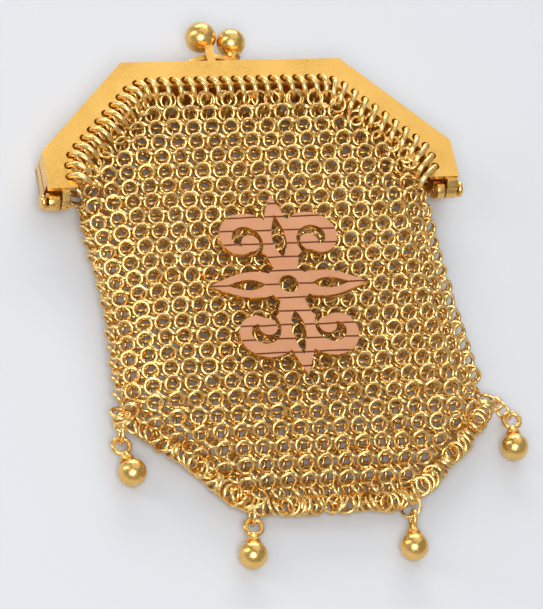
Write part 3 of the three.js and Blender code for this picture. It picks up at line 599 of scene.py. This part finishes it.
def from_edge(x, y):
    """How far inside the bag's outline a place lies, below nought if it is outside."""
    outline = np.concatenate([BAG_ROWS[:, [1, 0]], BAG_ROWS[::-1][:, [2, 0]]])
    a, b = outline, np.roll(outline, -1, axis=0)
    run = b - a
    share = np.clip(((x - a[:, 0]) * run[:, 0] + (y - a[:, 1]) * run[:, 1]) / (run ** 2).sum(1), 0, 1)
    near = np.hypot(a[:, 0] + share * run[:, 0] - x, a[:, 1] + share * run[:, 1] - y).min()
    left, right = row_at(y)[:2]
    inside = left < x < right and BAG_ROWS[-1, 0] < y < BAG_ROWS[0, 0]
    return near if inside else -near


def ring(name, radius, wire, around=14, through=5):
    bpy.ops.object.select_all(action="DESELECT")
    bpy.ops.mesh.primitive_torus_add(
        major_segments=around, minor_segments=through, major_radius=radius * MM, minor_radius=wire / 2 * MM)
    return named(name)


chance = np.random.default_rng(7)
front_rings, back_rings = [], []
for index in range(-2, 60):
    y = FIRST_ROW - index * ROW_STEP
    lean, depth, skew = ROW_LEANS[index % 2], ROW_DEPTHS[index % 2], ROW_SKEWS[index % 2]
    for column in np.arange(-COLUMNS / 2 + 1, COLUMNS / 2 + 1) - 0.5 * (index % 2):
        wobble = chance.normal(0, 1, 3) * math.radians(WOBBLE)
        drift = chance.normal(0, DRIFT, 3)
        if TUBE_FOOT < y < TUBE_TOP:
            spot = (column + COLUMN_START + COLUMNS / 2) % COLUMNS - COLUMNS / 2
            level = y + BACK_LIFT * np.clip((abs(spot) - 7) / 5, 0, 1)
            middle = on_tube(spot, level)
            across = on_tube(spot + 0.1, level) - on_tube(spot - 0.1, level)
            if spot < 0:
                across = on_tube(min(spot + 0.1, -0.001), level) - on_tube(spot - 0.1, level)
            down = on_tube(spot, level + 0.3) - on_tube(spot, level - 0.3)
            target = front_rings if abs(spot) < COLUMNS / 4 else back_rings
            target.append(lay(middle + drift, across, down, lean, wobble, depth, 1, skew))
            continue
        if abs(column) > COLUMNS / 4 + 1:
            continue
        part, spare = ("mouth", MOUTH_SPARE) if y > 0 else ("hem", HEM_SPARE)
        for is_back, target in ((False, front_rings), (True, back_rings)):
            level = y + BACK_LIFT if is_back else y
            middle = on_panel(column, level, part, is_back)
            if from_edge(middle[0], level) < spare:
                continue
            right_of, left_of = (on_panel(column + off, level, part, is_back) for off in (0.1, -0.1))
            above, below = (on_panel(column, level + off, part, is_back) for off in (0.3, -0.3))
            across = left_of - right_of if is_back else right_of - left_of
            target.append(lay(middle + drift, across, above - below, lean, wobble, depth, 1, skew))

# Rings that the lacing passes through, four for each seven turns
LACED_STEP = 1.75
LACED_INSET = 3.35
LACED_HEIGHTS = (6.1, 1.5)
LACED_LEAN = 30
edge_rings = []
for side, height in zip((1, -1), LACED_HEIGHTS):
    for turn in np.arange(0.7, TURNS, LACED_STEP):
        hole, outward = hole_at(turn)
        middle = np.array([*(hole - outward * LACED_INSET), height])
        along = np.array([outward[1], -outward[0], 0.0]) * side
        lean = LACED_LEAN + chance.normal(0, 6)
        edge_rings.append(lay(middle, along, np.array([*outward, 0.0]), lean, chance.normal(0, 0.1, 3)))

# Rings that close the hem, a little larger, leaning over in bunches of four
HEM_STEP = 0.85
HEM_INSET = 1.3
HEM_LEANS = (-42, 48)
HEM_BUNCH = 4
HEM_SIZE = 1.15
hem_line = np.concatenate([BAG_ROWS[13:, [1, 0]], BAG_ROWS[:12:-1][:, [2, 0]]])
hem_steps = np.r_[0, np.cumsum(np.linalg.norm(np.diff(hem_line, axis=0), axis=1))]


def hem_at(reach):
    return np.array([np.interp(reach, hem_steps, hem_line[:, i]) for i in (0, 1)])


for count, reach in enumerate(np.arange(0.5, hem_steps[-1], HEM_STEP)):
    ahead = hem_at(reach + 0.8) - hem_at(reach - 0.8)
    ahead /= np.linalg.norm(ahead)
    outward = np.array([ahead[1], -ahead[0]])
    spot = hem_at(reach) - outward * (HEM_INSET + chance.normal(0, 0.1))
    middle = np.array([*spot, sum(heights_at(*spot)) / 2 + 0.1])
    out = np.array(Matrix.Rotation(chance.normal(0, 0.35), 3, "Z")) @ np.array([*outward, 0.0])
    lean = HEM_LEANS[count // HEM_BUNCH % 2] + chance.normal(0, 9)
    wobble = chance.normal(0, 0.14, 3)
    edge_rings.append(lay(middle, out, np.array([0, 0, 1.0]), lean, wobble, 0, HEM_SIZE))

MESH_GOLD = gold("mesh gold", (0.99, 0.76, 0.34), (0.84, 0.49, 0.14), 0.26, 0.16, 1.3, 0.3, 0.004)
for name, places in (("front_panel", front_rings), ("back_panel", back_rings), ("edge_rings", edge_rings)):
    panel = copies(name, ring("ring", RING_RADIUS, RING_WIRE), places)
    choose(panel)
    bpy.ops.object.shade_smooth()
    finished(panel, "mesh", ["mesh_bag"], MESH_GOLD)

# The drops
# Each is a gold ball soldered to a collared neck and a stout loop. A thinner link joins the loop to
# a ring at the bag's corner, and the ball lies on the table.
DROP_BALL = 1.875
DROP_HEIGHT = DROP_BALL
CAP_ENDS = (1.55, 2.95)
CAP_RADII = (0.92, 0.6)
BEAD_RADIUS = 0.98
BEAD_ENDS = (0.25, 0.6)
LOOP_RADIUS, LOOP_WIRE = 1.12, 0.66
LINK_RADIUS, LINK_WIRE = 1.35, 0.44
CORNER_RING_RADIUS, CORNER_RING_WIRE = 0.85, 0.5
DROPS = [
    # corner ring, link, loop and ball in the plan, the loop's roll, the link's roll
    ("1", (-24.640, -19.974), (-24.874, -21.303), (-25.176, -23.016), (-24.340, -26.953), 0, 90),
    ("2", (-9.400, -32.853), (-9.518, -34.197), (-9.669, -35.930), (-10.506, -39.867), 0, 90),
    ("3", (12.317, -32.999), (12.246, -34.347), (12.155, -36.084), (11.456, -40.047), 90, 40),
    ("4", (27.505, -19.488), (28.201, -20.645), (29.097, -22.136), (28.606, -26.131), 0, 90),
]


def wire_ring(name, radius, wire, place, way, roll, around=40, through=12):
    """A ring of wire in a plane that holds one direction, flat or rolled upright."""
    piece = ring(name, radius, wire, around, through)
    turn = Matrix.Rotation(math.atan2(way[1], way[0]), 4, "Z") @ Matrix.Rotation(math.radians(roll), 4, "X")
    piece.data.transform(Matrix.Translation(Vector((*place, DROP_HEIGHT)) * MM) @ turn)
    choose(piece)
    bpy.ops.object.shade_smooth()
    return piece


def cap(start, end):
    """The stepped cap between a ball and its loop, wide at the ball."""
    bpy.ops.object.select_all(action="DESELECT")
    turn = (end - start).to_track_quat("Z", "Y").to_euler()
    bpy.ops.mesh.primitive_cone_add(
        vertices=32, radius1=CAP_RADII[0] * MM, radius2=CAP_RADII[1] * MM, depth=(end - start).length * MM,
        location=(start + end) / 2 * MM, rotation=turn)
    piece = named("cap")
    way = (end - start).normalized()
    bead_foot, bead_top = (start + way * reach for reach in BEAD_ENDS)
    return solder(piece, rod("bead", BEAD_RADIUS, bead_foot, bead_top, 32))


for name, corner, link_place, loop_place, ball_place, roll, link_roll in DROPS:
    link_way = Vector(link_place) - Vector(corner)
    ball_way = (Vector(ball_place) - Vector(loop_place)).normalized()
    middle = Vector((*ball_place, DROP_HEIGHT))
    drop = burnished_ball(f"drop_{name}_ball", middle, DROP_BALL)
    cap_foot, cap_top = (middle - Vector((*ball_way, 0)) * reach for reach in CAP_ENDS)
    solder(drop, cap(cap_foot, cap_top))
    solder(drop, wire_ring("loop", LOOP_RADIUS, LOOP_WIRE, loop_place, ball_way, roll))
    choose(drop)
    bpy.ops.object.shade_smooth_by_angle(angle=math.radians(50))
    finished(drop, "polished", [f"drop_{name}"], BRIGHT_GOLD)
    join = wire_ring(f"drop_{name}_link", LINK_RADIUS, LINK_WIRE, link_place, link_way, link_roll)
    finished(join, "wire", [f"drop_link_{name}"], WIRE_GOLD)
    corner_ring = wire_ring(
        f"corner_ring_{name}", CORNER_RING_RADIUS, CORNER_RING_WIRE, corner, link_way, roll, 32, 10)
    finished(corner_ring, "mesh", ["mesh_bag"], WIRE_GOLD)

# The ornament
# A pierced fleuron sawn from rose gold sheet and laid on the mesh. Its face is engraved with fine level
# lines, painted dark as the shade in their cuts, and its sawn edges are polished and painted yellow as a
# highlight.
ORNAMENT_WIDTH = 22.0
ORNAMENT_HEIGHT = 28.0
ORNAMENT_MIDDLE = Vector((-0.035, -3.254))
ORNAMENT_FACE = (7.4, 8.2)


def sheet_piece(name, outline, low=ORNAMENT_FACE[0], high=ORNAMENT_FACE[1]):
    """A piece of the sheet with one outline, extruded to the sheet's thickness."""
    made = bpy.data.meshes.new(name)
    made.from_pydata([(*(Vector(p) + ORNAMENT_MIDDLE) * MM, low * MM) for p in outline], [],
                     [list(range(len(outline)))])
    piece = bpy.data.objects.new(name, made)
    bpy.context.collection.objects.link(piece)
    choose(piece)
    bpy.ops.object.mode_set(mode="EDIT")
    bpy.ops.mesh.select_all(action="SELECT")
    bpy.ops.mesh.normals_make_consistent(inside=False)
    bpy.ops.mesh.extrude_region_move(TRANSFORM_OT_translate={"value": (0, 0, (high - low) * MM)})
    bpy.ops.mesh.select_all(action="SELECT")
    bpy.ops.mesh.normals_make_consistent(inside=False)
    bpy.ops.object.mode_set(mode="OBJECT")
    return piece


def leaf(turn, start, end, width, steps=24):
    way = Vector((math.cos(turn), math.sin(turn)))
    side = Vector((-way.y, way.x))
    edge = []
    for i in range(2 * steps):
        share = i / steps if i < steps else 2 - i / steps
        half = width / 2 * math.sin(math.pi * share ** 0.8) * (1 if i < steps else -1)
        edge.append(way * (start + (end - start) * share) + side * half)
    return edge


def disc(middle, radius, steps=40):
    return [Vector(middle) + Vector((math.cos(a), math.sin(a))) * radius
            for a in np.linspace(0, 2 * math.pi, steps, endpoint=False)]


def scroll(flip_x, flip_y, steps=56):
    unit = ORNAMENT_WIDTH / 2
    middle = Vector((0.46 * unit, 0.5 * ORNAMENT_HEIGHT / 2))
    outer, inner = [], []
    for i in range(steps + 1):
        share = i / steps
        turn = math.radians(222 + (-150 - 222) * share)
        reach = (0.4 + (0.1 - 0.4) * share ** 0.85) * unit
        width = (0.24 + (0.09 - 0.24) * share) * unit
        way = Vector((math.cos(turn), math.sin(turn)))
        outer.append(middle + way * (reach + width / 2))
        inner.append(middle + way * (reach - width / 2))
    knob_turn = math.radians(-150)
    knob = disc(middle + Vector((math.cos(knob_turn), math.sin(knob_turn))) * 0.1 * unit, 0.115 * unit, 28)
    flip = lambda points: [Vector((p.x * flip_x, p.y * flip_y)) for p in points]
    return flip(outer + inner[::-1]), flip(knob)


half_width, half_height = ORNAMENT_WIDTH / 2, ORNAMENT_HEIGHT / 2
fleuron = sheet_piece("fleuron", disc((0, 0), 0.27 * half_width))
openings = [disc((0, 0), 0.12 * half_width, 28)]
for turn, length, width, opening in ((90, half_height, 0.424, 0.42), (0, half_width, 0.368, 0.4)):
    for way in (math.radians(turn), math.radians(turn + 180)):
        solder(fleuron, sheet_piece("leaf", leaf(way, 0, length, width * half_width)))
        openings.append(leaf(way, length * 0.3, length * 0.78, width * half_width * opening))
for flip_x in (1, -1):
    for flip_y in (1, -1):
        for outline in scroll(flip_x, flip_y):
            solder(fleuron, sheet_piece("scroll", outline))
for outline in openings:
    solder(fleuron, sheet_piece("piercing", outline, 7, 9), "DIFFERENCE")
ease_edges(fleuron, 0.16, 2, 60)


def engraved_group():
    """Fine level lines cut into the face, as a mask that is full along each line; it places the painted
    shade of the cuts.
    """
    group = bpy.data.node_groups.new("engraved lines", "ShaderNodeTree")
    for label, value in (("Spacing", 2.1), ("Width", 0.17)):
        socket = group.interface.new_socket(label, in_out="INPUT", socket_type="NodeSocketFloat")
        socket.default_value = value
    group.interface.new_socket("Lines", in_out="OUTPUT", socket_type="NodeSocketFloat")
    add, link = group.nodes.new, group.links.new
    given, out = add("NodeGroupInput"), add("NodeGroupOutput")
    place, parts = add("ShaderNodeTexCoord"), add("ShaderNodeSeparateXYZ")
    link(place.outputs["Object"], parts.inputs[0])
    waver = add("ShaderNodeTexNoise")
    waver.inputs["Scale"].default_value = 260.0
    link(place.outputs["Object"], waver.inputs["Vector"])

    def step(operation, *values):
        node = add("ShaderNodeMath")
        node.operation = operation
        for socket, value in zip(node.inputs, values):
            if isinstance(value, float):
                socket.default_value = value
            else:
                link(value, socket)
        return node.outputs[0]

    level = step("MULTIPLY_ADD", waver.outputs["Fac"], 0.25, step("MULTIPLY", parts.outputs["Y"], 1000.0))
    within = step("FRACT", step("DIVIDE", level, given.outputs["Spacing"]))
    away = step("ABSOLUTE", step("SUBTRACT", within, 0.5))
    distance = step("MULTIPLY", away, given.outputs["Spacing"])
    line = step("SUBTRACT", 2.0, step("DIVIDE", distance, step("MULTIPLY", given.outputs["Width"], 0.5)))
    link(step("MINIMUM", step("MAXIMUM", line, 0.0), 1.0), out.inputs["Lines"])
    return group


ROSE_GOLD = gold("rose gold", (0.76, 0.38, 0.21), (0.68, 0.31, 0.16), 0.34, 0.14, 5.0, 0.1, 0.01)
rose_nodes, rose_link = ROSE_GOLD.node_tree.nodes, ROSE_GOLD.node_tree.links.new
engraved = rose_nodes.new("ShaderNodeGroup")
engraved.node_tree = engraved_group()
# The engraved lines are painted near black: painted shade in the cuts, which have no depth of their own.
shaded = rose_nodes.new("ShaderNodeMix")
shaded.data_type = "RGBA"
shaded.inputs["B"].default_value = (0.16, 0.05, 0.02, 1)
rose_link(engraved.outputs["Lines"], shaded.inputs["Factor"])
rose_link(rose_nodes["tone"].outputs["Result"], shaded.inputs["A"])
rose_link(shaded.outputs["Result"], rose_nodes["Principled BSDF"].inputs["Base Color"])
# The fleuron's edges take the yellow polished gold: they are polished, and painted yellow as a highlight
# where they catch the light.
finished(fleuron, "ornament", ["ornament"], ROSE_GOLD, BRIGHT_GOLD)
brighten_edges(fleuron)

# The table, the light and the camera
# A plain pale table, soft studio light from above and behind, and a long lens at the photograph's
# angle.
bpy.ops.object.select_all(action="DESELECT")
bpy.ops.mesh.primitive_plane_add(size=3)
table = named("table")
pale = bpy.data.materials.new("pale table")
pale.use_nodes = True
pale.node_tree.nodes["Principled BSDF"].inputs["Base Color"].default_value = (0.62, 0.63, 0.65, 1)
pale.node_tree.nodes["Principled BSDF"].inputs["Roughness"].default_value = 0.6
table.data.materials.append(pale)

world = bpy.data.worlds.new("studio")
world.use_nodes = True
world.node_tree.nodes["Background"].inputs["Color"].default_value = (0.93, 0.96, 1.0, 1)
world.node_tree.nodes["Background"].inputs["Strength"].default_value = 0.38
bpy.context.scene.world = world


def softbox(name, place, aim, size, watts):
    light = bpy.data.lights.new(name, "AREA")
    light.shape, light.size, light.size_y, light.energy = "RECTANGLE", size[0], size[1], watts
    lamp = bpy.data.objects.new(name, light)
    bpy.context.collection.objects.link(lamp)
    lamp.location = place
    lamp.rotation_mode = "QUATERNION"
    lamp.rotation_quaternion = (Vector(aim) - Vector(place)).to_track_quat("-Z", "Y")
    return lamp


softbox("overhead", (0.18, 0.29, 0.50), (0, 0, 0), (0.6, 0.6), 0.65)
softbox("key", (-0.20, -0.42, 0.66), (0, 0, 0), (0.42, 0.42), 4.5)
softbox("edge", (-0.50, 0.22, 0.30), (0, 0, 0), (0.12, 0.45), 0.8)
softbox("top", (0.10, 0.62, 0.26), (0, 0, 0.01), (0.6, 0.16), 2.2)

scene = bpy.context.scene
scene.view_settings.view_transform = "Standard"
camera_data = bpy.data.cameras.new("camera")
camera = bpy.data.objects.new("camera", camera_data)
scene.collection.objects.link(camera)
scene.camera = camera
camera_data.sensor_width, camera_data.lens = 36.0, 4000 / 609 * 36
camera_data.clip_start, camera_data.clip_end = 0.01, 5
azimuth, elevation, roll = (math.radians(v) for v in (-31.654, 55.372, 24.606))
back_way = Vector((
    math.sin(azimuth) * math.cos(elevation), -math.cos(azimuth) * math.cos(elevation), math.sin(elevation)))
level = Vector((math.cos(azimuth), math.sin(azimuth), 0))
upright = back_way.cross(level)
right_way = level * math.cos(roll) + upright * math.sin(roll)
up_way = upright * math.cos(roll) - level * math.sin(roll)
stand = right_way * 7.157 - up_way * 30.194 + back_way * 555.24 + Vector((-0.635, 33.946, -0.29))
turned = Matrix((right_way, up_way, back_way)).transposed().to_4x4()
camera.matrix_world = Matrix.Translation(stand * MM) @ turned
